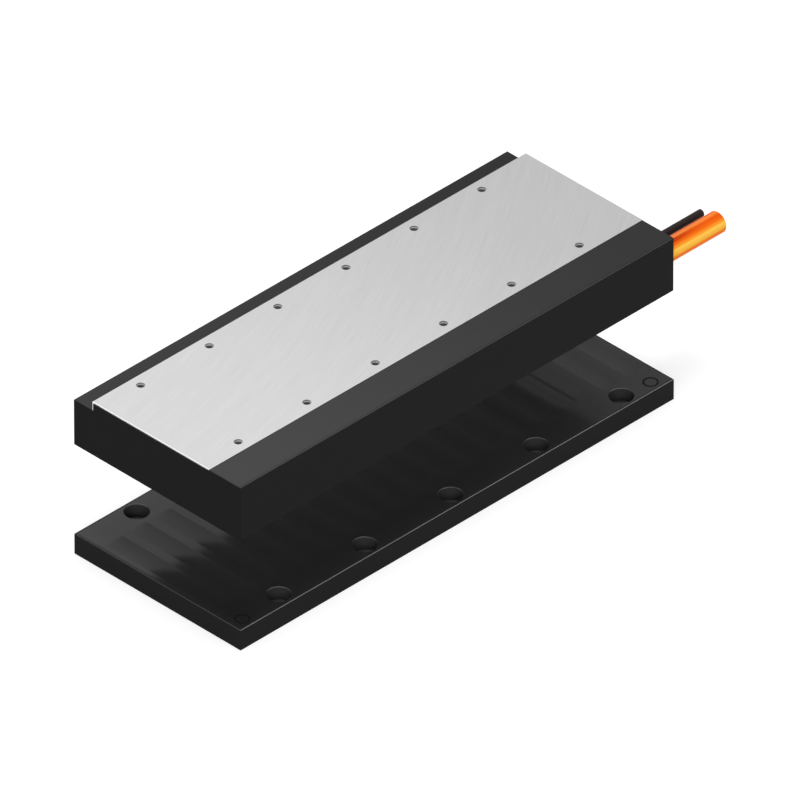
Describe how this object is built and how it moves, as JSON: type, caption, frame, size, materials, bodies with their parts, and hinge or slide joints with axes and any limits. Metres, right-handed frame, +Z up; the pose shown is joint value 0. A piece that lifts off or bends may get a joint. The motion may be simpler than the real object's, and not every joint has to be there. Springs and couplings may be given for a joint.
{
  "type": "iron-core linear motor",
  "caption": "Flat linear motor: a cast coil unit with an aluminium mounting plate and end-exit cables above a magnet track with counterbored screw holes.",
  "frame": {"origin": "centre of the magnet track's flat underside", "axes": "+X along the travel towards the end where the cables leave; +Z up, from the track to the forcer's mounting plate; +Y to the side away from the cables"},
  "size_m": [0.284, 0.096, 0.0808],
  "materials": {
    "black_coated_iron": "satin black coating on milled steel",
    "frame_resin": "black moulded resin",
    "coated_magnet": "dark epoxy coating on sintered magnet",
    "milled_aluminium": "face-milled, fine turning marks",
    "electrical_steel": "stacked laminations",
    "tie_steel": "bright flat bar",
    "bobbin_nylon": "natural moulded nylon",
    "enamelled_copper": "copper wire under enamel",
    "slot_paper": "aramid sheet",
    "glass_epoxy": "glass-epoxy strip",
    "bar_copper": "bare copper bar",
    "holder_nylon": "black moulded nylon",
    "core_insulation": "black insulation",
    "earth_insulation": "green and yellow insulation",
    "orange_jacket": "orange polyurethane jacket",
    "black_jacket": "black polyurethane jacket",
    "sensor_resin": "dipped bead",
    "sensor_insulation": "light insulation",
    "casting_resin": "satin black casting resin"
  },
  "bodies": {
    "track": {"back_iron": "black_coated_iron", "magnet_frame": "frame_resin", "magnets_north": "coated_magnet", "magnets_south": "coated_magnet"},
    "forcer": {"mounting_plate": "milled_aluminium", "lamination_stack": "electrical_steel", "stack_tie_bars": "tie_steel", "coil_bobbins": "bobbin_nylon", "coils_phase_u": "enamelled_copper", "coils_phase_v": "enamelled_copper", "coils_phase_w": "enamelled_copper", "slot_separators": "slot_paper", "slot_wedges": "glass_epoxy", "bus_bar_u": "bar_copper", "bus_bar_v": "bar_copper", "bus_bar_w": "bar_copper", "star_bar": "bar_copper", "bar_holders": "holder_nylon", "power_cable_cores": "core_insulation", "earth_core": "earth_insulation", "power_cable_jacket": "orange_jacket", "sensor_cable_jacket": "black_jacket", "temperature_sensors": "sensor_resin", "sensor_wire": "sensor_insulation", "earth_strip": "bar_copper", "potting_body": "casting_resin"}
  },
  "joints": [
    {"name": "travel", "type": "slide", "parent": "track", "child": "forcer", "axis": [1, 0, 0], "range_m": [-0.125, 0.125]}
  ]
}
